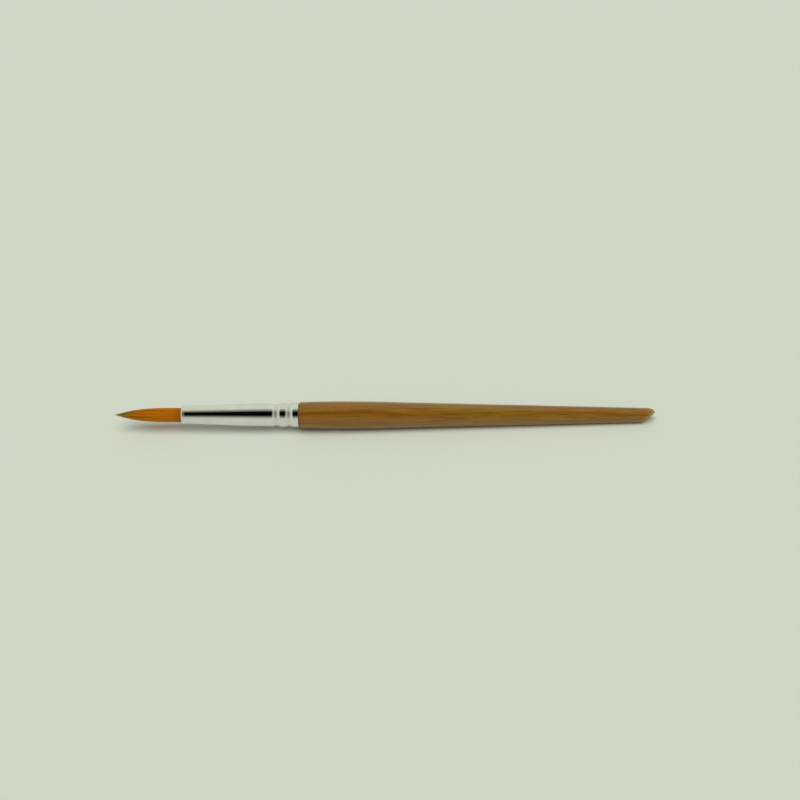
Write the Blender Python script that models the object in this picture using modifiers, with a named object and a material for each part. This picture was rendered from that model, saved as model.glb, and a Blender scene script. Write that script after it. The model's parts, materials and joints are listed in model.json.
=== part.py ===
"""Round artist's brush: a turned wooden handle, a crimped metal ferrule and a golden tuft.

Every piece is drawn as on a lathe, standing on its handle: the local Z axis is the brush's own
axis, z = 0 is the ferrule's mouth and +Z points to the tip of the hair. Their shared parent, an
empty at the mouth, then lays the brush down in the pose that it takes on a table.
"""

import math

import bmesh
import bpy
from mathutils import Vector

MM = 0.001

# The brush along its axis
HAIR_OUT = 22.6 * MM  # free hair, from the mouth to the tip
FERRULE_LENGTH = 38.9 * MM
HANDLE_LENGTH = 118.5 * MM  # the part that shows, behind the ferrule

# Ferrule
MOUTH_RADIUS = 2.98 * MM
REAR_RADIUS = 4.15 * MM
WALL = 0.25 * MM
LIP_OPENING = 2.50 * MM  # inner radius of the rolled lip
LIP_DEPTH = 0.53 * MM  # how far the roll reaches into the mouth
LIP_END = 2.0 * MM  # where the rolled metal has thinned to the wall
CRIMP_PLACES = (31.5 * MM, 35.8 * MM)  # groove centres behind the mouth
CRIMP_HALF_WIDTH = 1.5 * MM
CRIMP_DEPTH = 0.42 * MM

# Handle
SHOULDER_RADIUS = 4.30 * MM
BELLY_RADIUS = 4.56 * MM
BELLY_PLACE = 16.0 * MM  # thickest point behind the shoulder
TAPER_SLOPE = 0.0236  # radius lost per length, behind the belly
SHOULDER_ROUNDING = 0.35 * MM
NOSE_LENGTH = 2.1 * MM  # rounded stretch at the very end
NOSE_TIP_RADIUS = 0.5 * MM
TENON_LENGTH = 16.0 * MM
TENON_CHAMFER = 0.8 * MM
BELLY_RINGS = 10
TAPER_RINGS = 5
NOSE_RINGS = 6

# Oblique cut at the handle's end
BEVEL_ANGLE = math.radians(36)  # between the cut and the brush's axis
BEVEL_START = 4.7 * MM  # where the cut leaves the handle's side, ahead of the end
BEVEL_TURN = math.radians(35)  # below the horizontal, towards -Y
CUTTER_SIZE = 12 * MM

# Hair
TUFT_RADIUS = 2.37 * MM
TUFT_FULLNESS = 3.4  # how long the tuft stays full before it tapers
TUFT_SHARPNESS = 1.12
BALL_RADIUS = 2.36 * MM  # the root's round front, which the tuft turns on
CUP_RADIUS = 2.60 * MM
CUP_HALF_ANGLE = math.radians(50)
NECK_LENGTH = 1.0 * MM  # straight stretch of the root that passes the lip
ROOT_LENGTH = 14.5 * MM
ROOT_CHAMFER = 0.3 * MM
WAIST_PLACE = 11.6 * MM  # middle of the thread's winding, behind the mouth
WAIST_HALF_LENGTH = 1.3 * MM
WAIST_DEPTH = 0.55 * MM
WAIST_SLOPE = 0.5 * MM  # length over which the bundle narrows to its waist
TUFT_RINGS = 15

# Binding thread and glue
THREAD_RADIUS = 0.15 * MM
THREAD_PITCH = 0.38 * MM
THREAD_TURNS = 4
GLUE_FRONT = 14.8 * MM
GLUE_REAR = 18.2 * MM
GLUE_HOLLOW = 0.8 * MM  # depth of the meniscus in the plug's rear face
GLUE_RIM = 0.15 * MM  # flat edge round the meniscus

FIT_GAP = 0.15 * MM  # between pieces that are fixed to each other
END_GAP = 0.30 * MM  # between faces that meet end to end
SIDES = 20
THREAD_POINTS = 20  # in a turn of the thread

BELLY_CURVE = (BELLY_RADIUS - SHOULDER_RADIUS) / BELLY_PLACE**2
TAPER_START = BELLY_PLACE + TAPER_SLOPE / (2 * BELLY_CURVE)


def clear_scene():
    for obj in list(bpy.data.objects):
        bpy.data.objects.remove(obj, do_unlink=True)


def new_collection(name):
    collection = bpy.data.collections.new(name)
    bpy.context.scene.collection.children.link(collection)
    return collection


def new_material(name, colour, roughness, metallic=0.0, coat=0.0):
    material = bpy.data.materials.new(name)
    material.use_nodes = True
    shader = material.node_tree.nodes["Principled BSDF"]
    shader.inputs["Base Color"].default_value = (*colour, 1.0)
    shader.inputs["Roughness"].default_value = roughness
    shader.inputs["Metallic"].default_value = metallic
    shader.inputs["Coat Weight"].default_value = coat
    material.diffuse_color = (*colour, 1.0)
    return material


def spaced(first, last, count):
    """count values from first to last, both included."""
    return [first + (last - first) * i / (count - 1) for i in range(count)]


def arc(centre_radius, centre_z, radius, first_angle, last_angle, count):
    """Profile points on an arc. Angle 0 points outwards and 90 degrees points to +Z."""
    angles = spaced(math.radians(first_angle), math.radians(last_angle), count)
    return [
        (centre_radius + radius * math.cos(a), centre_z + radius * math.sin(a))
        for a in angles
    ]


def turned(name, profile, closed, material, collection, parent):
    """A piece turned about local Z from (radius, z) points that run down its outer side."""
    mesh = bpy.data.meshes.new(name)
    shape = bmesh.new()
    points = [shape.verts.new((radius, 0.0, z)) for radius, z in profile]
    for first, second in zip(points, points[1:]):
        shape.edges.new((first, second))
    if closed:
        shape.edges.new((points[-1], points[0]))
    shape.to_mesh(mesh)
    shape.free()
    obj = bpy.data.objects.new(name, mesh)
    obj.parent = parent
    # Half a step round, so that a flat side and not an edge faces the table.
    obj.rotation_euler.z = math.pi / SIDES
    lathe = obj.modifiers.new("lathe", "SCREW")
    lathe.axis = "Z"
    lathe.angle = 2 * math.pi
    lathe.steps = SIDES
    lathe.render_steps = SIDES
    lathe.use_merge_vertices = True
    lathe.merge_threshold = 0.000001
    lathe.use_smooth_shade = True
    mesh.materials.append(material)
    collection.objects.link(obj)
    return obj


def crimp_dip(behind):
    """Depth of the crimp grooves at a distance behind the mouth."""
    dip = 0.0
    for place in CRIMP_PLACES:
        across = (behind - place) / CRIMP_HALF_WIDTH
        if abs(across) < 1:
            dip += CRIMP_DEPTH * (1 + math.cos(math.pi * across)) / 2
    return dip


def ferrule_outside(behind):
    taper = MOUTH_RADIUS + (REAR_RADIUS - MOUTH_RADIUS) * behind / FERRULE_LENGTH
    return taper - crimp_dip(behind)


def ferrule_inside(behind):
    return ferrule_outside(behind) - WALL


def crimp_stations():
    """Distances behind the mouth that describe both crimp grooves."""
    stations = []
    for place in CRIMP_PLACES:
        stations += spaced(place - CRIMP_HALF_WIDTH, place + CRIMP_HALF_WIDTH, 9)
    return stations


def handle_outside(behind):
    """Radius at a distance behind the shoulder: a shallow belly, then a straight taper."""
    belly = min(behind, TAPER_START)
    radius = BELLY_RADIUS - BELLY_CURVE * (belly - BELLY_PLACE) ** 2
    return radius - TAPER_SLOPE * max(0.0, behind - TAPER_START)


def tuft_outside(ahead):
    """Radius of the hair at a distance ahead of the mouth: full at first, then to a point."""
    share = ahead / HAIR_OUT
    return TUFT_RADIUS * (1 - share**TUFT_FULLNESS) ** TUFT_SHARPNESS


def make_ferrule(material, collection, parent):
    lip_radius = (MOUTH_RADIUS - LIP_OPENING) / 2
    lip_middle = LIP_OPENING + lip_radius
    lip = arc(lip_middle, -lip_radius, lip_radius, 180, 0, 7)
    stations = [LIP_END] + crimp_stations() + [FERRULE_LENGTH]
    outside = [(ferrule_outside(s), -s) for s in stations]
    inside = [(ferrule_inside(s), -s) for s in reversed(stations)]
    lip_back = [(LIP_OPENING, -LIP_DEPTH)]
    profile = lip + outside + inside + lip_back
    return turned("ferrule", profile, True, material, collection, parent)


def make_handle(material, collection, parent, cutters):
    tenon_front = FERRULE_LENGTH - TENON_LENGTH
    stations = [tenon_front + TENON_CHAMFER] + crimp_stations()
    tenon = [(ferrule_inside(s) - FIT_GAP, -s) for s in stations]
    front_radius = ferrule_inside(tenon_front) - FIT_GAP - TENON_CHAMFER
    neck_radius = ferrule_inside(FERRULE_LENGTH) - FIT_GAP
    neck = [(neck_radius, -FERRULE_LENGTH - END_GAP)]
    first = END_GAP + SHOULDER_ROUNDING  # where the rounded shoulder joins the side
    corner_middle = handle_outside(first) - SHOULDER_ROUNDING
    corner = arc(corner_middle, -FERRULE_LENGTH - first, SHOULDER_ROUNDING, 90, 0, 5)
    end = FERRULE_LENGTH + HANDLE_LENGTH
    nose_start = HANDLE_LENGTH - NOSE_LENGTH
    places = spaced(first, TAPER_START, BELLY_RINGS + 1)[1:]
    places += spaced(TAPER_START, nose_start, TAPER_RINGS + 1)[1:]
    side = [(handle_outside(p), -FERRULE_LENGTH - p) for p in places]
    nose_radius = handle_outside(nose_start)
    nose = [
        (
            NOSE_TIP_RADIUS + (nose_radius - NOSE_TIP_RADIUS) * math.cos(angle),
            -FERRULE_LENGTH - nose_start - NOSE_LENGTH * math.sin(angle),
        )
        for angle in spaced(0.0, math.pi / 2, NOSE_RINGS + 1)[1:]
    ]
    profile = [(0.0, -tenon_front), (front_radius, -tenon_front)] + tenon
    profile += neck + corner + side + nose + [(0.0, -end)]
    handle = turned("handle", profile, False, material, collection, parent)

    # The cut leaves the side on the handle's lower front and slopes back up through the end.
    side_at_cut = handle_outside(HANDLE_LENGTH - BEVEL_START)
    outwards = Vector((-math.sin(BEVEL_TURN), -math.cos(BEVEL_TURN), 0.0))
    start = outwards * side_at_cut + Vector((0.0, 0.0, -end + BEVEL_START))
    normal = outwards * math.cos(BEVEL_ANGLE) + Vector((0.0, 0.0, -math.sin(BEVEL_ANGLE)))
    bpy.ops.mesh.primitive_cube_add(size=CUTTER_SIZE)
    cutter = bpy.context.object
    cutter.name = "end_cutter"
    cutter.parent = parent
    cutter.location = start + normal * CUTTER_SIZE / 2
    cutter.rotation_euler = normal.to_track_quat("Z", "Y").to_euler()
    cutter.hide_render = True
    cutter.display_type = "WIRE"
    for owner in list(cutter.users_collection):
        owner.objects.unlink(cutter)
    cutters.objects.link(cutter)
    cut = handle.modifiers.new("end_cut", "BOOLEAN")
    cut.operation = "DIFFERENCE"
    cut.object = cutter
    return handle


def make_root(material, collection, parent):
    """The glued half of the bundle: wedged in the taper, with a waist for the thread."""
    ball = arc(0.0, 0.0, BALL_RADIUS, 90, 0, 9)
    neck = [(BALL_RADIUS, -NECK_LENGTH)]
    waist_front = WAIST_PLACE - WAIST_HALF_LENGTH
    waist_rear = WAIST_PLACE + WAIST_HALF_LENGTH

    def wedge(behind, dip=0.0):
        return (ferrule_inside(behind) - FIT_GAP - dip, -behind)

    body = [wedge(LIP_END), wedge(waist_front - WAIST_SLOPE)]
    body += [wedge(waist_front, WAIST_DEPTH), wedge(waist_rear, WAIST_DEPTH)]
    body += [wedge(waist_rear + WAIST_SLOPE), wedge(ROOT_LENGTH - ROOT_CHAMFER)]
    end = [wedge(ROOT_LENGTH, ROOT_CHAMFER), (0.0, -ROOT_LENGTH)]
    profile = ball + neck + body + end
    return turned("hair_root", profile, False, material, collection, parent)


def make_tuft(material, collection, parent):
    """The free hair. It turns about the mouth's centre, so its base is a cup round that point."""
    cone_end = TUFT_RADIUS / math.tan(CUP_HALF_ANGLE)  # where the base cone meets the side
    angles = spaced(0.0, math.acos(cone_end / HAIR_OUT), TUFT_RINGS)
    side = [(tuft_outside(HAIR_OUT * math.cos(a)), HAIR_OUT * math.cos(a)) for a in angles]
    cup = arc(0.0, 0.0, CUP_RADIUS, 90 - math.degrees(CUP_HALF_ANGLE), 90, 8)
    cup[-1] = (0.0, CUP_RADIUS)
    return turned("hair_tuft", side + cup, False, material, collection, parent)


def make_glue(material, collection, parent):
    front = ferrule_inside(GLUE_FRONT) - FIT_GAP
    rear = ferrule_inside(GLUE_REAR) - FIT_GAP
    profile = [(0.0, -GLUE_FRONT), (front, -GLUE_FRONT), (rear, -GLUE_REAR)]
    for radius in spaced(rear - GLUE_RIM, 0.0, 6):
        rise = GLUE_HOLLOW * (1 - (radius / rear) ** 2)
        profile.append((radius, -GLUE_REAR + rise))
    return turned("glue_plug", profile, False, material, collection, parent)


def make_thread(material, collection, parent):
    """The tie round the waist: a few turns of thread side by side."""
    curve = bpy.data.curves.new("binding_thread", "CURVE")
    curve.dimensions = "3D"
    curve.bevel_depth = THREAD_RADIUS
    curve.bevel_resolution = 2
    curve.use_fill_caps = True
    count = THREAD_TURNS * THREAD_POINTS + 1
    start = WAIST_PLACE - THREAD_TURNS * THREAD_PITCH / 2
    spline = curve.splines.new("POLY")
    spline.points.add(count - 1)
    for i, point in enumerate(spline.points):
        turn = i / THREAD_POINTS
        behind = start + turn * THREAD_PITCH
        angle = 2 * math.pi * turn
        waist = ferrule_inside(behind) - FIT_GAP - WAIST_DEPTH
        radius = waist + FIT_GAP + THREAD_RADIUS
        point.co = (radius * math.cos(angle), radius * math.sin(angle), -behind, 1.0)
    obj = bpy.data.objects.new("binding_thread", curve)
    obj.parent = parent
    curve.materials.append(material)
    collection.objects.link(obj)
    return obj


def lay_down(axis, pieces):
    """Rests the brush on its straight taper and centres it over the origin."""
    tilt = math.atan(TAPER_SLOPE * math.cos(math.pi / SIDES))
    axis.rotation_euler.y = tilt - math.pi / 2
    bpy.context.view_layer.update()
    graph = bpy.context.evaluated_depsgraph_get()
    points = []
    for piece in pieces:
        evaluated = piece.evaluated_get(graph)
        mesh = evaluated.to_mesh()
        points += [evaluated.matrix_world @ vertex.co for vertex in mesh.vertices]
        evaluated.to_mesh_clear()
    low = Vector(min(p[i] for p in points) for i in range(3))
    high = Vector(max(p[i] for p in points) for i in range(3))
    axis.location = (-(low.x + high.x) / 2, -(low.y + high.y) / 2, -low.z)


def main():
    clear_scene()
    brush = new_collection("round_brush")
    cutters = new_collection("cutters")
    cutters.hide_render = True

    axis = bpy.data.objects.new("brush_axis", None)
    axis.empty_display_size = 5 * MM
    brush.objects.link(axis)

    wood = new_material("varnished_wood", (0.27, 0.13, 0.035), 0.35, coat=0.5)
    metal = new_material("polished_metal", (0.80, 0.80, 0.78), 0.08, metallic=1.0)
    hair = new_material("golden_filament", (0.42, 0.16, 0.02), 0.45)
    root_hair = new_material("glued_filament", (0.30, 0.12, 0.02), 0.5)
    thread = new_material("tie_thread", (0.75, 0.70, 0.58), 0.8)
    glue = new_material("hard_glue", (0.45, 0.30, 0.10), 0.3)

    pieces = [
        make_handle(wood, brush, axis, cutters),
        make_ferrule(metal, brush, axis),
        make_root(root_hair, brush, axis),
        make_tuft(hair, brush, axis),
        make_thread(thread, brush, axis),
        make_glue(glue, brush, axis),
    ]
    lay_down(axis, pieces)


main()
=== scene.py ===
"""The looks of a round artist's brush that lies on pale paper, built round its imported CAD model.

Every visible piece is drawn in the brush's own frame: the origin is the middle of the ferrule's
mouth, +Z runs to the tip of the hair, -Z to the handle's end, and +X points up. The meshes are then
moved into the row frame, so every object stays at its identity matrix. Lengths are in metres.
"""

import json
import math

import bpy
import numpy as np
from mathutils import Matrix, Vector


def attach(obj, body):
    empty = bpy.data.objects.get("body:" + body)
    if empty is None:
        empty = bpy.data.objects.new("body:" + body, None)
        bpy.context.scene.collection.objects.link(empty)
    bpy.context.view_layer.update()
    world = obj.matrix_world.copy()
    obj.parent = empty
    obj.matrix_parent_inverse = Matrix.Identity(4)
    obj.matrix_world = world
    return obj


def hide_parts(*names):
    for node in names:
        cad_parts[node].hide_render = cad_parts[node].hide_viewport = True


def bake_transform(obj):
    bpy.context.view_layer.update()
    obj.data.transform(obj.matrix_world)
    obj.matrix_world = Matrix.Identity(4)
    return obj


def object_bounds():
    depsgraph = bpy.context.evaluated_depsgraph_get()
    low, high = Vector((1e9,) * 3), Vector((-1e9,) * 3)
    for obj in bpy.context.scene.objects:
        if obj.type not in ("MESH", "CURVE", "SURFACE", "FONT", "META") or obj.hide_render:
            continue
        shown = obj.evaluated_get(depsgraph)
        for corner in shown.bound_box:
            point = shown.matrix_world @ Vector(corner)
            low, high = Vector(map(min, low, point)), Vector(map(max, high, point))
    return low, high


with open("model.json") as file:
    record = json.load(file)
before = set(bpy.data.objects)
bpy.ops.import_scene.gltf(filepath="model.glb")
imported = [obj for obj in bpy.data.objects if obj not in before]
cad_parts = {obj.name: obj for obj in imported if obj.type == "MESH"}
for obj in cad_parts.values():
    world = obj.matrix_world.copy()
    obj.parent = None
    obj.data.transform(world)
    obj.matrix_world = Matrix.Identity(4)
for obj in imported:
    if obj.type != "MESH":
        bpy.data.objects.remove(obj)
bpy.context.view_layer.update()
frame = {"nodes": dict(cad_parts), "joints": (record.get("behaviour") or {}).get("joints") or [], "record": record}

MM = 0.001

# ---------------------------------------------------------------- the brush's own frame

JOINT = frame["joints"][0]
MOUTH = Vector(JOINT["pos_m"])
UP = Vector(JOINT["axis"]).normalized()
SIDE = Vector((0.0, 1.0, 0.0))
TIPWARD = UP.cross(SIDE)
TO_ROW = Matrix((UP, SIDE, TIPWARD)).transposed().to_4x4()
TO_ROW.translation = MOUTH
TO_BRUSH = TO_ROW.inverted()
DIP = math.atan2(-TIPWARD.z, -TIPWARD.x)  # how far the axis turns from +X, about Y

RING_GRID = 0.04 * MM  # vertices this close along the axis belong to one turned ring
INWARD = -0.1  # a vertex faces inwards when its normal's outward share is below this


def turned_rings(node):
    """A CAD node's turned rings: places along the axis, rising, and the outer radius at each.
    Vertices that face inwards belong to a bore and don't count."""
    radii = {}
    for vertex in frame["nodes"][node].data.vertices:
        point = TO_BRUSH @ vertex.co
        facing = TO_BRUSH.to_3x3() @ vertex.normal
        if facing.xy.dot(point.xy) < INWARD * point.xy.length:
            continue
        place = round(point.z / RING_GRID)
        radii[place] = max(radii.get(place, 0.0), math.hypot(point.x, point.y))
    places = sorted(radii)
    return np.array(places) * RING_GRID, np.array([radii[place] for place in places])


def smooth_curve(places, values):
    """A smooth function through the points that doesn't overshoot between them."""
    steps = np.diff(places)
    slopes = np.diff(values) / steps
    tangents = np.concatenate(([slopes[0]], np.zeros(len(slopes) - 1), [slopes[-1]]))
    rising = slopes[:-1] * slopes[1:] > 0
    mean = 2 * slopes[:-1] * slopes[1:] / np.where(rising, slopes[:-1] + slopes[1:], 1.0)
    tangents[1:-1] = np.where(rising, mean, 0.0)

    def value(place):
        i = np.clip(np.searchsorted(places, place) - 1, 0, len(steps) - 1)
        t = np.clip((place - places[i]) / steps[i], 0.0, 1.0)
        near = (1 + 2 * t) * (1 - t) ** 2 * values[i] + t * (1 - t) ** 2 * steps[i] * tangents[i]
        far = t**2 * (3 - 2 * t) * values[i + 1] - t**2 * (1 - t) * steps[i] * tangents[i + 1]
        return near + far

    return value


# ---------------------------------------------------------------- mesh making


def to_row(points):
    """Moves an array of points from the brush's frame into the row frame."""
    return points @ np.array(TO_ROW.to_3x3()).T + np.array(MOUTH)


def new_piece(name, points, faces, material):
    """A smooth-shaded mesh from points in the brush's frame."""
    mesh = bpy.data.meshes.new(name)
    mesh.from_pydata(to_row(points).tolist(), [], faces)
    mesh.shade_smooth()
    mesh.materials.append(material)
    piece = bpy.data.objects.new(name, mesh)
    bpy.context.scene.collection.objects.link(piece)
    return piece


def turn(outline, segments, shape=None, closed=False):
    """Points and faces of a turned body. The outline is (radius, place) pairs, from the tip side
    down the outside, and shape(points, angles) may move the points."""
    outline = np.array(outline)
    angles = np.arange(segments) * 2 * math.pi / segments
    radius = outline[:, 0, None]
    points = np.empty((len(outline), segments, 3))
    points[..., 0] = radius * np.cos(angles)
    points[..., 1] = radius * np.sin(angles)
    points[..., 2] = outline[:, 1, None]
    if shape is not None:
        points = shape(points, angles)
    faces = []
    rings = len(outline)
    for i in range(rings if closed else rings - 1):
        here = i * segments
        below = (i + 1) % rings * segments
        for j in range(segments):
            k = (j + 1) % segments
            faces.append((here + j, below + j, below + k, here + k))
    if not closed:
        faces.append(tuple(range(segments)))
        faces.append(tuple(reversed(range((rings - 1) * segments, rings * segments))))
    return points.reshape(-1, 3), faces


def tubes(lines, radii, sides):
    """Points and faces of many thin tubes that run roughly along the axis. lines is an array of
    (tube, point, xyz), and radii of (tube, point)."""
    count, length, _ = lines.shape
    angles = np.arange(sides) * 2 * math.pi / sides
    points = np.repeat(lines[:, :, None, :], sides, axis=2)
    points[..., 0] += radii[..., None] * np.cos(angles)
    points[..., 1] += radii[..., None] * np.sin(angles)
    faces = []
    for tube in range(count):
        first = tube * length * sides
        for i in range(length - 1):
            here = first + i * sides
            for j in range(sides):
                k = (j + 1) % sides
                faces.append((here + j, here + k, here + sides + k, here + sides + j))
        faces.append(tuple(range(first + sides - 1, first - 1, -1)))
        last = first + (length - 1) * sides
        faces.append(tuple(range(last, last + sides)))
    return points.reshape(-1, 3), faces


def add_attribute(piece, name, values):
    """A number for each vertex, which the piece's material reads by name."""
    attribute = piece.data.attributes.new(name, "FLOAT", "POINT")
    attribute.data.foreach_set("value", np.asarray(values, np.float32).ravel())


def arc(middle_radius, middle_place, radius, first_angle, last_angle, count):
    """Outline points along an arc. Angle 0 points outwards and 90 to the tip, in degrees."""
    angles = np.radians(np.linspace(first_angle, last_angle, count))
    return [
        (middle_radius + radius * math.cos(a), middle_place + radius * math.sin(a))
        for a in angles
    ]


def slow_wave(places, period, seed):
    """A gentle random curve along the axis, between about -1 and 1."""
    waves = ((1.0, 0.5), (0.53, 0.3), (0.29, 0.2))  # each wave's share of the period and height
    phases = np.random.default_rng(seed).uniform(0, 2 * math.pi, len(waves))
    return sum(
        height * np.sin(2 * math.pi * places / (period * length) + phase)
        for (length, height), phase in zip(waves, phases)
    )


# ---------------------------------------------------------------- materials


class Look:
    """A material with a Principled shader, and short calls for the nodes that feed it. Textures
    are stretched along the brush: their scales count waves per metre, along it and across it."""

    def __init__(self, name, **uniform):
        self.material = bpy.data.materials.new(name)
        self.material.use_nodes = True
        self.tree = self.material.node_tree
        self.shader = self.tree.nodes["Principled BSDF"]
        for socket, value in uniform.items():
            self.shader.inputs[socket.replace("_", " ")].default_value = value

    def node(self, kind, inputs=None, **settings):
        made = self.tree.nodes.new("ShaderNode" + kind)
        for name, value in settings.items():
            setattr(made, name, value)
        for socket, value in (inputs or {}).items():
            self.feed(made.inputs[socket], value)
        return made

    def feed(self, socket, value):
        if isinstance(value, bpy.types.NodeSocket):
            self.tree.links.new(value, socket)
        else:
            socket.default_value = value

    def place(self, along, across, offset=(0.0, 0.0, 0.0)):
        """Coordinates whose X runs along the brush, times along and across."""
        position = self.node("TexCoord").outputs["Object"]
        turned = self.node(
            "Mapping",
            {"Vector": position, "Location": offset, "Rotation": (0.0, DIP, 0.0)},
        )
        scaled = {"Vector": turned.outputs[0], "Scale": (along, across, across)}
        return self.node("Mapping", scaled).outputs[0]

    def noise(self, along, across, detail=2.0, roughness=0.5):
        vector = self.place(along, across)
        inputs = {"Vector": vector, "Scale": 1.0, "Detail": detail, "Roughness": roughness}
        return self.node("TexNoise", inputs).outputs["Fac"]

    def attribute(self, name):
        return self.node("Attribute", attribute_name=name).outputs["Fac"]

    def ramp(self, value, *stops):
        """A colour or grey for each value: stops are (position, colour or grey)."""
        made = self.node("ValToRGB", {"Fac": value})
        elements = made.color_ramp.elements
        while len(elements) < len(stops):
            elements.new(0.5)
        for element, (position, colour) in zip(elements, stops):
            element.position = position
            grey = isinstance(colour, float)
            element.color = (colour, colour, colour, 1.0) if grey else (*colour, 1.0)
        return made.outputs["Color"]

    def mix(self, share, first, second, blend="MIX"):
        made = self.node("Mix", data_type="RGBA", blend_type=blend)
        colours = [socket for socket in made.inputs if socket.type == "RGBA"]
        self.feed(made.inputs[0], share)
        for socket, value in zip(colours, (first, second)):
            self.feed(socket, value if isinstance(value, bpy.types.NodeSocket) else (*value, 1.0))
        return next(socket for socket in made.outputs if socket.type == "RGBA")

    def maths(self, operation, first, second, third=0.0):
        made = self.node("Math", operation=operation)
        for socket, value in zip(made.inputs, (first, second, third)):
            self.feed(socket, value)
        return made.outputs[0]

    def finish(self, colour, roughness, height=None, depth=0.0):
        """Feeds the shader. depth is how far a height of 1 stands out, in metres."""
        self.feed(self.shader.inputs["Base Color"], colour)
        self.feed(self.shader.inputs["Roughness"], roughness)
        if height is not None:
            bump = self.node("Bump", {"Height": height, "Strength": 1.0, "Distance": depth})
            self.feed(self.shader.inputs["Normal"], bump.outputs[0])
        return self.material


# Colours are linear, and each SHADE holds a ramp's stops: (position, colour).
RED_SHADE = (
    (0.28, (0.215, 0.072, 0.005)), (0.50, (0.320, 0.118, 0.008)), (0.74, (0.420, 0.183, 0.017)),
)
OLIVE_SHADE = (
    (0.28, (0.210, 0.089, 0.005)), (0.50, (0.315, 0.147, 0.009)), (0.74, (0.420, 0.216, 0.022)),
)
PORE_BROWN = (0.075, 0.032, 0.006)
PALE_WOOD = (0.46, 0.29, 0.14)
SHEEN_AMBER = (1.0, 0.85, 0.6, 1.0)
VARNISH = 0.9  # coat weight where the varnish is whole
BRIGHT_METAL = (0.83, 0.82, 0.80)
DULL_METAL = (0.76, 0.75, 0.73)
HAIR_GLOSS = (1.0, 0.55, 0.12, 1.0)
# Hair colour along the hair. The dark stops inside the ferrule, and the rise to the stop just past the mouth, are
# painted shade of the ferrule's lip.
HAIR_TONE_AND_MOUTH_SHADE = (
    (0.0, (0.42, 0.115, 0.004)), (0.36, (0.42, 0.130, 0.005)),  # inside the ferrule
    (0.46, (0.78, 0.225, 0.003)), (0.80, (0.78, 0.250, 0.005)), (1.0, (0.55, 0.450, 0.075)),
)
# The core is far darker than the hair: painted shade of the hairs deep in the bundle.
CORE_PAINTED_SHADE = ((0.3, (0.16, 0.040, 0.002)), (0.7, (0.38, 0.100, 0.004)))
THREAD_SHADE = ((0.3, (0.55, 0.50, 0.38)), (0.7, (0.80, 0.75, 0.62)))
GLUE_SHADE = ((0.3, (0.36, 0.22, 0.06)), (0.7, (0.55, 0.38, 0.15)))
PAPER_SHADE = ((0.3, (0.79, 0.79, 0.785)), (0.7, (0.81, 0.81, 0.805)))

# How far each surface's bumps stand out.
WOOD_RELIEF = 0.012 * MM
METAL_RELIEF = 0.0012 * MM
CORE_RELIEF = 0.05 * MM
THREAD_RELIEF = 0.01 * MM
GLUE_RELIEF = 0.02 * MM
PAPER_RELIEF = 0.01 * MM


def growth_rings(look):
    """Soft year rings, round a heart that lies beside the handle and wanders along it."""
    sway = look.noise(45.0, 160.0, detail=1.0)
    bent = look.node("VectorMath", operation="MULTIPLY_ADD")
    look.feed(bent.inputs[0], sway)
    look.feed(bent.inputs[1], (0.0, 0.5, 0.35))
    look.feed(bent.inputs[2], look.place(14.0, 600.0, (0.0, 0.016, -0.011)))
    return look.node(
        "TexWave",
        {"Vector": bent.outputs[0], "Scale": 0.34, "Distortion": 2.2, "Detail": 2.0,
         "Detail Scale": 1.4, "Detail Roughness": 0.6},
        wave_type="RINGS",
        rings_direction="X",
        wave_profile="SAW",
    ).outputs["Fac"]


def varnished_wood():
    """Fine-grained hardwood under a clear varnish: wide soft rings, long fibres that shift between a reddish and
    an olive brown, and short dark pores along the grain. The very end turns paler and less glossy, and the oblique
    cut is bare."""
    look = Look("varnished_wood",
                Coat_Roughness=0.07, Specular_IOR_Level=0.05,
                Sheen_Weight=0.1, Sheen_Roughness=0.5, Sheen_Tint=SHEEN_AMBER)
    rings = growth_rings(look)
    fibres = look.noise(55.0, 2600.0, detail=4.0, roughness=0.62)
    fine = look.noise(160.0, 9000.0, detail=3.0, roughness=0.6)
    drift = look.noise(22.0, 150.0, detail=2.0)
    pores = look.ramp(look.noise(420.0, 6500.0, detail=1.0), (0.60, 0.0), (0.70, 1.0))
    red = look.ramp(fibres, *RED_SHADE)
    olive = look.ramp(fibres, *OLIVE_SHADE)
    wood = look.mix(look.ramp(drift, (0.40, 0.0), (0.62, 1.0)), red, olive)
    late = look.ramp(rings, (0.0, 1.0), (0.65, 0.94), (1.0, 0.68))
    wood = look.mix(0.75, wood, late, "MULTIPLY")
    wood = look.mix(0.45, wood, look.ramp(fine, (0.3, 0.72), (0.7, 1.0)), "MULTIPLY")
    wood = look.mix(look.maths("MULTIPLY", pores, 0.4), wood, PORE_BROWN)
    # Paler, less glossy wood on the cut face and towards the end.
    patchy = look.ramp(fine, (0.35, 0.5), (0.55, 1.0))
    bare_and_pale = look.maths("MULTIPLY", look.attribute("bare_and_pale"), patchy)
    wood = look.mix(bare_and_pale, wood, PALE_WOOD)
    rough = look.maths("MULTIPLY_ADD", fibres, 0.16, look.maths("MULTIPLY_ADD", bare_and_pale, 0.3, 0.32))
    coat = look.maths("MULTIPLY_ADD", bare_and_pale, -VARNISH, VARNISH)
    look.feed(look.shader.inputs["Coat Weight"], coat)
    height = look.maths("MULTIPLY_ADD", pores, -0.7, look.maths("MULTIPLY", fibres, 0.8))
    return look.finish(wood, rough, height, WOOD_RELIEF)


def polished_metal():
    """Bright drawn metal: fine lines along the tube and cloudy smudges. The crimps and the rolled
    lip are duller, where tools worked them."""
    look = Look("polished_metal", Metallic=1.0)
    drawn = look.noise(30.0, 7000.0, detail=3.0)
    smudge = look.noise(260.0, 260.0, detail=3.0)
    colour = look.mix(look.ramp(smudge, (0.35, 0.0), (0.75, 1.0)), BRIGHT_METAL, DULL_METAL)
    rough = look.maths("MULTIPLY_ADD", smudge, 0.14, 0.03)
    rough = look.maths("MULTIPLY_ADD", look.attribute("worked"), 0.4, rough)
    return look.finish(colour, rough, drawn, METAL_RELIEF)


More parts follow.
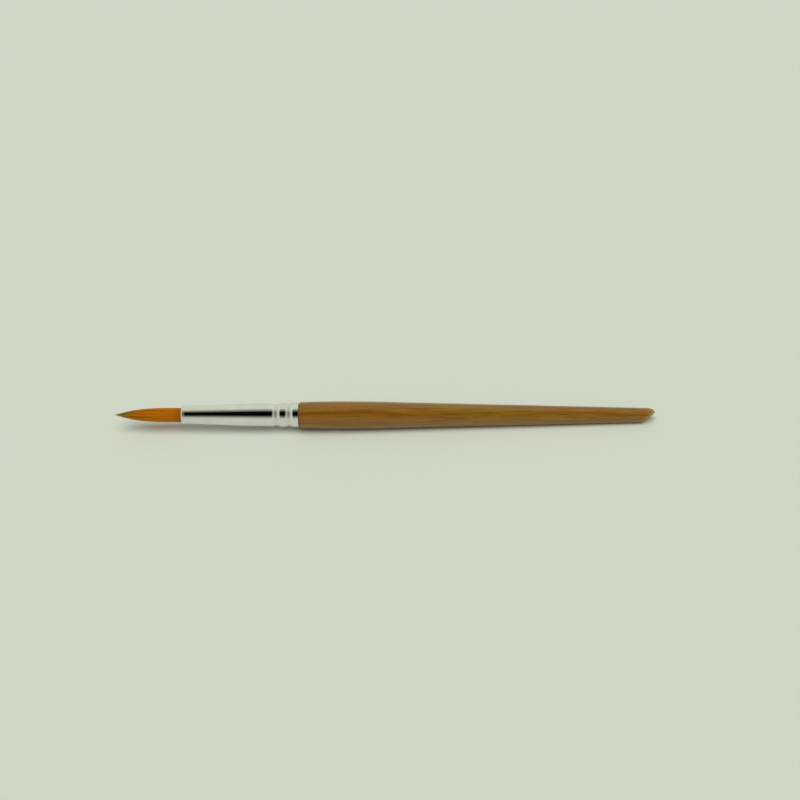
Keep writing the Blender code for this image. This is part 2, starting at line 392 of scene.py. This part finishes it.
def golden_filament():
    """Amber nylon: each hair has its own shade, paler towards its fine end, and darker where it leaves the
    ferrule, which is painted shade of the ferrule's lip. Light that passes from hair to hair tints even its gloss."""
    look = Look("golden_filament", Specular_IOR_Level=0.4, Specular_Tint=HAIR_GLOSS)
    colour = look.ramp(look.attribute("along"), *HAIR_TONE_AND_MOUTH_SHADE)
    shade = look.attribute("shade")
    colour = look.mix(0.85, colour, look.ramp(shade, (0.0, 0.50), (1.0, 1.0)), "MULTIPLY")
    return look.finish(colour, look.maths("MULTIPLY_ADD", shade, 0.12, 0.30))


def packed_filament():
    """The inside of the bundle, where the hairs lie close; its dark colour is painted shade of the hairs deep
    inside.
    """
    look = Look("packed_filament", Specular_IOR_Level=0.3)
    streaks = look.noise(70.0, 5200.0, detail=3.0)
    rough = look.maths("MULTIPLY_ADD", streaks, 0.2, 0.4)
    return look.finish(look.ramp(streaks, *CORE_PAINTED_SHADE), rough, streaks, CORE_RELIEF)


def tie_thread():
    """Undyed waxed thread."""
    look = Look("tie_thread", Sheen_Weight=0.2)
    fuzz = look.noise(9000.0, 9000.0, detail=3.0)
    rough = look.maths("MULTIPLY_ADD", fuzz, 0.2, 0.6)
    return look.finish(look.ramp(fuzz, *THREAD_SHADE), rough, fuzz, THREAD_RELIEF)


def hard_glue():
    """Amber resin glue with cloudy streaks."""
    look = Look("hard_glue", Specular_IOR_Level=0.6)
    cloud = look.noise(700.0, 700.0, detail=4.0)
    rough = look.maths("MULTIPLY_ADD", cloud, 0.2, 0.1)
    return look.finish(look.ramp(cloud, *GLUE_SHADE), rough, cloud, GLUE_RELIEF)


def pale_paper():
    """Smooth pale paper with a faint grain."""
    look = Look("pale_paper", Specular_IOR_Level=0.2)
    grain = look.noise(1500.0, 1500.0, detail=4.0)
    rough = look.maths("MULTIPLY_ADD", grain, 0.1, 0.7)
    return look.finish(look.ramp(grain, *PAPER_SHADE), rough, grain, PAPER_RELIEF)


# ---------------------------------------------------------------- ferrule

FERRULE_SEGMENTS = 192
LIP_ZONE = 1.4 * MM  # the rolled lip lies within this distance of the mouth
LIP_CREST = 0.75 * MM  # from the mouth
LIP_RISE = 0.15 * MM  # how far its crest stands above the tube
LIP_STEPS = 12
WALL = 0.25 * MM
TUBE_STEP = 1.0 * MM
CRIMP_ZONE = 0.7  # the crimps lie behind this share of the ferrule's length
CRIMP_STEP = 0.12 * MM
EDGE_ROUNDING = 0.06 * MM
EDGE_STEPS = 4
JAWS = 11  # crimping jaws, which leave a low ridge between each two
RIDGE_HEIGHT = 0.05 * MM
RIDGE_SHARPNESS = 26

ferrule_places, ferrule_radii = turned_rings("ferrule")
ferrule_rear = ferrule_places[0]
mouth_radius = ferrule_radii[ferrule_places > -LIP_ZONE].max()
lip_middle = ferrule_radii[-1]
lip_radius = mouth_radius - lip_middle
tube_rings = ferrule_places < -LIP_ZONE
ferrule_outside = smooth_curve(
    np.append(ferrule_places[tube_rings], -lip_radius),
    np.append(ferrule_radii[tube_rings], mouth_radius),
)


def plain_tube(place):
    """The ferrule's outer radius without its crimps."""
    return mouth_radius + (ferrule_radii[0] - mouth_radius) * (place + lip_radius) / (
        ferrule_rear + lip_radius
    )


def crimp_share(place):
    """0 on the plain tube and 1 at the floor of the deepest crimp groove."""
    dip = np.clip(plain_tube(place) - ferrule_outside(place), 0.0, None)
    return dip / dip.max()


def jaw_ridges(points, angles):
    """Raises the floor of each crimp groove where two jaws didn't quite meet."""
    radius = np.hypot(points[..., 0], points[..., 1])
    ridge = ((1 + np.cos(JAWS * angles)) / 2) ** RIDGE_SHARPNESS
    lift = 1 + RIDGE_HEIGHT * crimp_share(points[..., 2]) * ridge / radius
    points[..., :2] *= lift[..., None]
    return points


def make_ferrule(material):
    crimps = ferrule_places[ferrule_places < CRIMP_ZONE * ferrule_rear]
    crimp_front = crimps[-1] + CRIMP_STEP
    rear = ferrule_rear + EDGE_ROUNDING
    stations = np.concatenate(
        (
            np.arange(-LIP_ZONE - TUBE_STEP, crimp_front, -TUBE_STEP),
            np.arange(crimp_front, rear + CRIMP_STEP / 2, -CRIMP_STEP),
        )
    )
    crest_radius = float(ferrule_outside(-LIP_CREST)) + LIP_RISE
    front_radius = lip_middle - lip_radius / 2
    inner = arc(front_radius, -lip_radius / 2, lip_radius / 2, 180, 90, EDGE_STEPS)
    front = [
        (front_radius + (crest_radius - front_radius) * math.sin(a), -LIP_CREST * (1 - math.cos(a)))
        for a in np.linspace(0.0, math.pi / 2, LIP_STEPS)[1:]
    ]
    rise = []
    for t in np.linspace(0.0, 1.0, LIP_STEPS)[1:]:
        place = -LIP_CREST - (LIP_ZONE - LIP_CREST) * t
        rise.append((ferrule_outside(place) + LIP_RISE * (1 + math.cos(math.pi * t)) / 2, place))
    outside = [(ferrule_outside(s), s) for s in stations]
    inside = [(ferrule_outside(s) - WALL, s) for s in stations[::-1]]
    rear_radius = ferrule_radii[0]
    outer_edge = arc(rear_radius - EDGE_ROUNDING, rear, EDGE_ROUNDING, 0, -90, EDGE_STEPS)
    bore_edge = arc(
        rear_radius - WALL + EDGE_ROUNDING, rear, EDGE_ROUNDING, -90, -180, EDGE_STEPS
    )
    outline = inner + front + rise + outside + outer_edge + bore_edge + inside
    points, faces = turn(outline, FERRULE_SEGMENTS, jaw_ridges, closed=True)
    piece = new_piece("ferrule_tube", points, faces, material)
    lip_share = np.clip(1 + points[:, 2] / LIP_ZONE, 0.0, 1.0)
    add_attribute(piece, "worked", np.maximum(crimp_share(points[:, 2]), lip_share))
    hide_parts("ferrule")
    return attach(piece, "brush")


# ---------------------------------------------------------------- handle

HANDLE_SEGMENTS = 160
SIDE_STEP = 0.6 * MM
END_STEP = 0.08 * MM
END_ZONE = 6.0 * MM  # the finely divided stretch that holds the cut and the nose
NOSE_LENGTH = 2.8 * MM
NOSE_STEPS = 30
NOSE_TIP_RADIUS = 0.5 * MM
NOSE_TIP_STEPS = 6
CAP_RADIUS = 0.05 * MM  # a flat face closes the nose inside this radius
SHOULDER_ROUNDING = 0.35 * MM
SHOULDER_STEPS = 8
CUT_SOFTNESS = 0.07 * MM
PALE_END_LENGTH = 3.5 * MM  # the wood turns paler and less glossy over this stretch of the end
PALE_END_SHARE = 0.75  # how far it pales at the very end
TURNING_WAVE = 0.012 * MM  # what the lathe and the sandpaper left
TURNING_PERIOD = 17.0 * MM
TURNING_SEED = 3
OVAL_SHARE = 0.7  # how far the handle is out of round, as a share of the wave
WAVE_START = 2.0 * MM  # the waves grow to full height over this distance from the shoulder

handle_places, handle_radii = turned_rings("handle")
handle_end = handle_places[0]
cut_mount = next(m for m in frame["record"]["mounts"] if m["name"] == "end_bevel")
cut_point = np.array(TO_BRUSH @ Vector(cut_mount["pos_m"]))
cut_normal = np.array(TO_BRUSH.to_3x3() @ Vector(cut_mount["axis"]))

end_rings = handle_places < handle_end + END_ZONE
taper_far_place = handle_places[end_rings][-1]
taper_far_radius = handle_radii[end_rings][-1]
side_rings = (handle_places < ferrule_rear - SHOULDER_ROUNDING) & ~end_rings
taper_near_place = handle_places[side_rings][0]
taper_near_radius = handle_radii[side_rings][0]
taper_slope = (taper_near_radius - taper_far_radius) / (taper_near_place - taper_far_place)
belly = smooth_curve(handle_places[side_rings], handle_radii[side_rings])
shoulder_place = handle_places[handle_places < ferrule_rear][-1]


def handle_outside(place):
    straight = taper_near_radius + taper_slope * (place - taper_near_place)
    return np.where(place > taper_near_place, belly(place), straight)


def worked_wood(points, angles):
    """The lathe's slight waves along the handle, and the oblique cut through its end."""
    place = points[..., 2]
    oval = OVAL_SHARE * np.cos(2 * angles + place / TURNING_PERIOD)
    wave = TURNING_WAVE * (slow_wave(place, TURNING_PERIOD, TURNING_SEED) + oval)
    shown = np.clip((shoulder_place - place) / WAVE_START, 0.0, 1.0)
    radius = np.maximum(np.hypot(points[..., 0], points[..., 1]), NOSE_TIP_RADIUS)
    points[..., :2] *= (1 + shown * wave / radius)[..., None]
    beyond = (points - cut_point) @ cut_normal
    kept = -CUT_SOFTNESS * np.logaddexp(0.0, -beyond / CUT_SOFTNESS)
    return points + (kept - beyond)[..., None] * cut_normal


def make_handle(material):
    tenon_rings = handle_places > ferrule_rear
    tenon = list(zip(handle_radii[tenon_rings], handle_places[tenon_rings]))[::-1]
    neck = [(tenon[-1][0], shoulder_place)]
    first = shoulder_place - SHOULDER_ROUNDING
    corner_radius = handle_outside(first) - SHOULDER_ROUNDING
    corner = arc(corner_radius, first, SHOULDER_ROUNDING, 90, 0, SHOULDER_STEPS)
    nose_start = handle_end + NOSE_LENGTH
    places = np.concatenate(
        (
            np.arange(first - SIDE_STEP, handle_end + END_ZONE, -SIDE_STEP),
            np.arange(handle_end + END_ZONE, nose_start, -END_STEP),
        )
    )
    side = [(handle_outside(p), p) for p in places]
    nose_radius = handle_outside(nose_start) - NOSE_TIP_RADIUS
    nose = [
        (NOSE_TIP_RADIUS + nose_radius * math.cos(a), nose_start - NOSE_LENGTH * math.sin(a))
        for a in np.linspace(0.0, math.pi / 2, NOSE_STEPS)
    ]
    tip_radii = np.linspace(NOSE_TIP_RADIUS, CAP_RADIUS, NOSE_TIP_STEPS)[1:]
    tip = [(r, handle_end) for r in tip_radii]
    outline = tenon + neck + corner + side + nose + tip
    points, faces = turn(outline, HANDLE_SEGMENTS, worked_wood)
    piece = new_piece("wooden_handle", points, faces, material)
    # The cut face is bare; towards the end the wood turns paler and less glossy.
    bare = np.clip(1 + ((points - cut_point) @ cut_normal) / (3 * CUT_SOFTNESS), 0.0, 1.0)
    pale_end = np.clip(1 - (points[:, 2] - handle_end) / PALE_END_LENGTH, 0.0, 1.0)
    add_attribute(piece, "bare_and_pale", np.maximum(bare, PALE_END_SHARE * pale_end))
    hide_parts("handle")
    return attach(piece, "brush")


# ---------------------------------------------------------------- hair

HAIR_SEED = 11
HAIR_RADIUS = 0.060 * MM
HAIR_SIDES = 5
HAIR_SPACING = 1.85 * HAIR_RADIUS  # between neighbours in a layer
HAIR_JITTER = 0.3  # of that spacing, either way
HAIR_TAPER = 7.0 * MM  # each hair thins to its point over this length
HAIR_POINT = 0.12  # share of its radius left at the very end
LAYERS = 3  # full layers of hair, from the outside in
LAYER_DEPTH = 0.105 * MM
INNER_HAIRS = 330
INNER_AREA = 0.7  # share of the bundle's section in which they stand
ROOT_STATIONS = (0.99, 0.90, 0.70, 0.66, 0.07, 0.0)  # shares of the hidden length
FREE_STATIONS = 14
SHORTEST = 0.35  # share of the free length that every hair reaches
CLUMPS = 26
CLUMP_PULL = 0.45
CLUMP_JITTER = 0.08
WANDER = 0.035 * MM
STRAYS = 12
STRAY_LIFT = 0.22 * MM
ENDING = 1.25  # how fast hairs end as the tuft narrows
CUP_REACH = 3.0 * MM  # the tuft's rings up to here belong to the ball it turns on
CORE_SHARE = 0.86
CORE_SEGMENTS = 72
CORE_ROOT = 0.97  # share of the hidden length that the core fills
CORE_TIP = 0.93  # and of the free length

root_places, root_radii = turned_rings("hair_root")
tuft_places, tuft_radii = turned_rings("hair_tuft")
hair_length = tuft_places[-1]
root_end = root_places[0]
in_ferrule = root_places < RING_GRID
past_cup = tuft_places > CUP_REACH
bundle_places = np.concatenate((root_places[in_ferrule], tuft_places[past_cup]))
bundle_radii = np.concatenate((root_radii[in_ferrule], tuft_radii[past_cup]))
bundle_outside = smooth_curve(bundle_places, bundle_radii)
bundle_radius = bundle_outside(0.0)


def bend_with_tuft(piece):
    """Moves the piece's transform into its mesh, so that the piece stays at the identity matrix."""
    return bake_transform(piece)


def make_hair(material):
    random = np.random.default_rng(HAIR_SEED)
    shares, angles = [], []
    for layer in range(LAYERS):
        depth = HAIR_RADIUS + layer * LAYER_DEPTH
        count = int(2 * math.pi * (bundle_radius - depth) / HAIR_SPACING)
        shares.append(np.full(count, 1 - layer * LAYER_DEPTH / bundle_radius))
        spacing = 2 * math.pi / count
        jitter = random.uniform(-HAIR_JITTER, HAIR_JITTER, count) * spacing
        angles.append(np.arange(count) * spacing + jitter)
    shares.append(np.sqrt(random.uniform(0.0, INNER_AREA, INNER_HAIRS)))
    angles.append(random.uniform(0, 2 * math.pi, INNER_HAIRS))
    share, angle = np.concatenate(shares), np.concatenate(angles)
    count = len(share)

    # Each hair ends where the narrowing tuft has no more room for it.
    table = np.linspace(0.0, 1.0, 400) * hair_length
    room = (bundle_outside(table) / bundle_radius) ** ENDING
    ends = np.interp(-random.uniform(0.0, 1.0, count), -room, table)
    ends = np.maximum(ends, SHORTEST * hair_length)

    root_stations = np.array(ROOT_STATIONS) * root_end
    steps = np.linspace(0.0, 1.0, FREE_STATIONS + 1)[1:] ** 0.85
    places = np.concatenate(
        (np.tile(root_stations, (count, 1)), ends[:, None] * steps[None, :]), axis=1
    )
    free = np.clip(places / hair_length, 0.0, 1.0)

    # Towards the tip, hairs are drawn to the middle of the clump they stand nearest.
    clump = np.round(angle / (2 * math.pi) * CLUMPS)
    clump_shift = random.uniform(-CLUMP_JITTER, CLUMP_JITTER, CLUMPS + 1)
    clump_angle = clump * 2 * math.pi / CLUMPS + clump_shift[clump.astype(int) % CLUMPS]
    turn_in = CLUMP_PULL * free**1.5
    angle_there = angle[:, None] * (1 - turn_in) + clump_angle[:, None] * turn_in
    radius = share[:, None] * (bundle_outside(places) - HAIR_RADIUS)

    lift = np.zeros(count)
    lift[random.choice(count, STRAYS, replace=False)] = STRAY_LIFT
    lift *= random.uniform(0.4, 1.0, count)
    radius += lift[:, None] * free**3
    lines = np.stack((radius * np.cos(angle_there), radius * np.sin(angle_there), places), axis=2)
    for direction in range(2):
        phase = random.uniform(0, 2 * math.pi, (count, 1))
        period = random.uniform(7.0, 15.0, (count, 1)) * MM
        size = WANDER * random.uniform(0.2, 1.0, (count, 1))
        lines[..., direction] += size * free * np.sin(2 * math.pi * places / period + phase)

    left = np.clip((ends[:, None] - places) / HAIR_TAPER, 0.0, 1.0)
    thickness = HAIR_RADIUS * random.uniform(0.85, 1.1, (count, 1))
    radii = thickness * (HAIR_POINT + (1 - HAIR_POINT) * left**0.7)
    points, faces = tubes(lines, radii, HAIR_SIDES)
    piece = new_piece("filaments", points, faces, material)
    along = (places - root_end) / (hair_length - root_end)
    add_attribute(piece, "along", np.repeat(along, HAIR_SIDES))
    shade = random.uniform(0.0, 1.0, (count, 1)) + np.zeros_like(places)
    add_attribute(piece, "shade", np.repeat(shade, HAIR_SIDES))
    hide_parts("hair_tuft")
    return bend_with_tuft(piece)


def make_hair_core(material):
    """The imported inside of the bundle, which closes the sight through the outer hairs."""
    hidden = np.linspace(CORE_ROOT * root_end, 0.0, 30)
    shown = np.linspace(0.0, CORE_TIP * hair_length, 60)[1:]
    places = np.concatenate((hidden, shown))[::-1]
    share = CORE_SHARE * (1 - np.clip(places / hair_length, 0, 1) ** 6 * 0.6)
    outline = list(zip(share * bundle_outside(places), places))
    points, faces = turn(outline, CORE_SEGMENTS)
    piece = new_piece("packed_hair", points, faces, material)
    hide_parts("hair_root")
    return bend_with_tuft(piece)


# ---------------------------------------------------------------- binding thread and glue

THREAD_RADIUS = 0.15 * MM
THREAD_TURNS = 4
THREAD_GAP = 0.15 * MM
PLIES = 3
PLY_RADIUS = 0.54 * THREAD_RADIUS
PLY_OFFSET = THREAD_RADIUS - PLY_RADIUS  # from the thread's middle to a ply's
PLY_TWIST = 1.0 * MM  # length over which the plies go once round each other
THREAD_POINTS = 150  # in a turn
GLUE_SEGMENTS = 96
GLUE_HOLLOW = 0.8 * MM
GLUE_ROUNDING = 0.12 * MM
GLUE_MIDDLE = 0.1 * MM  # a flat face closes each end inside this radius


def make_thread(material):
    """Three plies that twist round each other while the thread winds round the bundle."""
    places, _ = turned_rings("binding_thread")
    front, rear = places[-1] - THREAD_RADIUS, places[0] + THREAD_RADIUS
    curve = bpy.data.curves.new("twisted_thread", "CURVE")
    curve.dimensions = "3D"
    curve.bevel_depth = PLY_RADIUS
    curve.bevel_resolution = 1
    curve.use_fill_caps = True
    steps = np.linspace(0.0, 1.0, THREAD_TURNS * THREAD_POINTS)
    place = front + (rear - front) * steps
    angle = 2 * math.pi * THREAD_TURNS * steps
    path_radius = bundle_outside(place) + THREAD_GAP + THREAD_RADIUS
    travelled = steps * 2 * math.pi * THREAD_TURNS * path_radius.mean()
    for ply in range(PLIES):
        twist = 2 * math.pi * (travelled / PLY_TWIST + ply / PLIES)
        radius = path_radius + PLY_OFFSET * np.cos(twist)
        shift = PLY_OFFSET * np.sin(twist)
        points = np.stack((radius * np.cos(angle), radius * np.sin(angle), place + shift), axis=1)
        spline = curve.splines.new("POLY")
        spline.points.add(len(points) - 1)
        weighted = np.append(to_row(points), np.ones((len(points), 1)), 1)
        spline.points.foreach_set("co", weighted.ravel())
    curve.materials.append(material)
    piece = bpy.data.objects.new("twisted_thread", curve)
    bpy.context.scene.collection.objects.link(piece)
    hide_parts("binding_thread")
    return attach(piece, "brush")


def make_glue(material):
    """A plug with a rounded front edge and the hollow that setting glue leaves at its rear."""
    places, radii = turned_rings("glue_plug")
    front, rear = places[-1], places[0]
    corner_radius = radii[-1] - GLUE_ROUNDING
    outline = [(r, front) for r in np.linspace(GLUE_MIDDLE, corner_radius, 8)]
    outline += arc(corner_radius, front - GLUE_ROUNDING, GLUE_ROUNDING, 90, 0, 5)
    outline.append((radii[0], rear))
    for r in np.linspace(radii[0] - GLUE_ROUNDING, GLUE_MIDDLE, 14):
        outline.append((r, rear + GLUE_HOLLOW * (1 - (r / radii[0]) ** 2)))
    points, faces = turn(outline, GLUE_SEGMENTS)
    piece = new_piece("set_glue", points, faces, material)
    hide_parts("glue_plug")
    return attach(piece, "brush")


# ---------------------------------------------------------------- floor, light and camera

LIGHT_TINT = (0.92, 1.0, 0.83)
FILL = 0.33  # radiance of the tent as light on the object and the floor
TENT = 0.75  # radiance of the tent as reflections see it
BACKDROP = 0.678  # radiance of the tent behind the floor, which it matches
OPENING_HEIGHT = math.radians(51)  # the tent's dark opening, above and behind the camera
OPENING = (0.0, -math.cos(OPENING_HEIGHT), math.sin(OPENING_HEIGHT))
OPENING_DARK = 0.90  # squared cosine of the angle from its middle at which the dark ends
OPENING_EDGE = 0.32  # and at which the tent is fully bright
KEY_TILT = math.radians(15)  # from straight above towards the camera's side
KEY_SPREAD = math.radians(50)  # the light's width in the sky, which softens the shadow
KEY_STRENGTH = 1.69
FLOOR_SIZE = 200.0  # wide enough that its edge is lost at the horizon
LENS = 70.0
SENSOR = 36.0
ELEVATION = math.radians(38)  # the camera's height over the horizon, seen from the brush
FRAME_WIDTH = 265.7 * MM  # what the picture's width spans at the brush
RIGHT_SHIFT = 5.15 * MM  # from the brush's middle to the picture's
UP_SHIFT = 4.98 * MM
CLIP_START = 10 * MM


def make_floor():
    """Pale paper under the lowest point of the brush."""
    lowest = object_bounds()[0][2]
    bpy.ops.mesh.primitive_plane_add(size=FLOOR_SIZE, location=(0, 0, lowest))
    floor = bpy.context.object
    floor.name = "paper_floor"
    floor.data.materials.append(pale_paper())


def make_tent():
    """A pale light tent all round. Reflections see its dark opening over the camera, and its own
    light is kept low, so that the key light shapes the object."""
    world = bpy.data.worlds.new("light_tent")
    world.use_nodes = True
    nodes, links = world.node_tree.nodes, world.node_tree.links
    background = nodes["Background"]
    background.inputs["Color"].default_value = (*LIGHT_TINT, 1.0)
    direction = nodes.new("ShaderNodeTexCoord").outputs["Generated"]
    towards = nodes.new("ShaderNodeVectorMath")
    towards.operation = "DOT_PRODUCT"
    towards.inputs[1].default_value = OPENING
    links.new(direction, towards.inputs[0])
    square = nodes.new("ShaderNodeMath")
    square.operation = "POWER"
    square.inputs[1].default_value = 2.0
    links.new(towards.outputs["Value"], square.inputs[0])
    reflected = nodes.new("ShaderNodeMapRange")
    reflected.inputs["From Min"].default_value = OPENING_DARK
    reflected.inputs["From Max"].default_value = OPENING_EDGE
    reflected.inputs["To Max"].default_value = TENT
    links.new(square.outputs[0], reflected.inputs["Value"])
    rays = nodes.new("ShaderNodeLightPath")
    strength = FILL
    for ray, radiance in (("Is Glossy Ray", reflected.outputs[0]), ("Is Camera Ray", BACKDROP)):
        choice = nodes.new("ShaderNodeMix")
        links.new(rays.outputs[ray], choice.inputs["Factor"])
        for socket, value in ((choice.inputs["A"], strength), (choice.inputs["B"], radiance)):
            if isinstance(value, float):
                socket.default_value = value
            else:
                links.new(value, socket)
        strength = choice.outputs["Result"]
    links.new(strength, background.inputs["Strength"])
    bpy.context.scene.world = world


def make_key_light():
    """A broad even light from over the brush, which reflections don't show."""
    light = bpy.data.lights.new("key_light", "SUN")
    light.angle = KEY_SPREAD
    light.energy = KEY_STRENGTH
    light.color = LIGHT_TINT
    lamp = bpy.data.objects.new("key_light", light)
    lamp.location = (0.0, -math.sin(KEY_TILT), math.cos(KEY_TILT))
    lamp.rotation_euler = (KEY_TILT, 0.0, 0.0)
    lamp.visible_camera = False
    lamp.visible_glossy = False
    bpy.context.scene.collection.objects.link(lamp)


def make_camera():
    """A camera square to the brush, with its frame level with the brush's axis."""
    back = UP * math.sin(ELEVATION) - SIDE * math.cos(ELEVATION)
    right = -TIPWARD
    up = back.cross(right)
    middle = TO_ROW @ Vector((0, 0, float(hair_length + handle_end) / 2))
    aim = middle + right * RIGHT_SHIFT + up * UP_SHIFT
    camera = bpy.data.cameras.new("camera")
    camera.lens = LENS
    camera.sensor_width = SENSOR
    camera.clip_start = CLIP_START
    holder = bpy.data.objects.new("camera", camera)
    holder.rotation_euler = Matrix((right, up, back)).transposed().to_euler()
    holder.location = aim + back * FRAME_WIDTH / SENSOR * LENS
    bpy.context.scene.collection.objects.link(holder)
    bpy.context.scene.camera = holder


bpy.context.scene.view_settings.view_transform = "Standard"
make_camera()
make_tent()
make_key_light()
make_ferrule(polished_metal())
make_handle(varnished_wood())
make_hair_core(packed_filament())
make_hair(golden_filament())
make_thread(tie_thread())
make_glue(hard_glue())
make_floor()
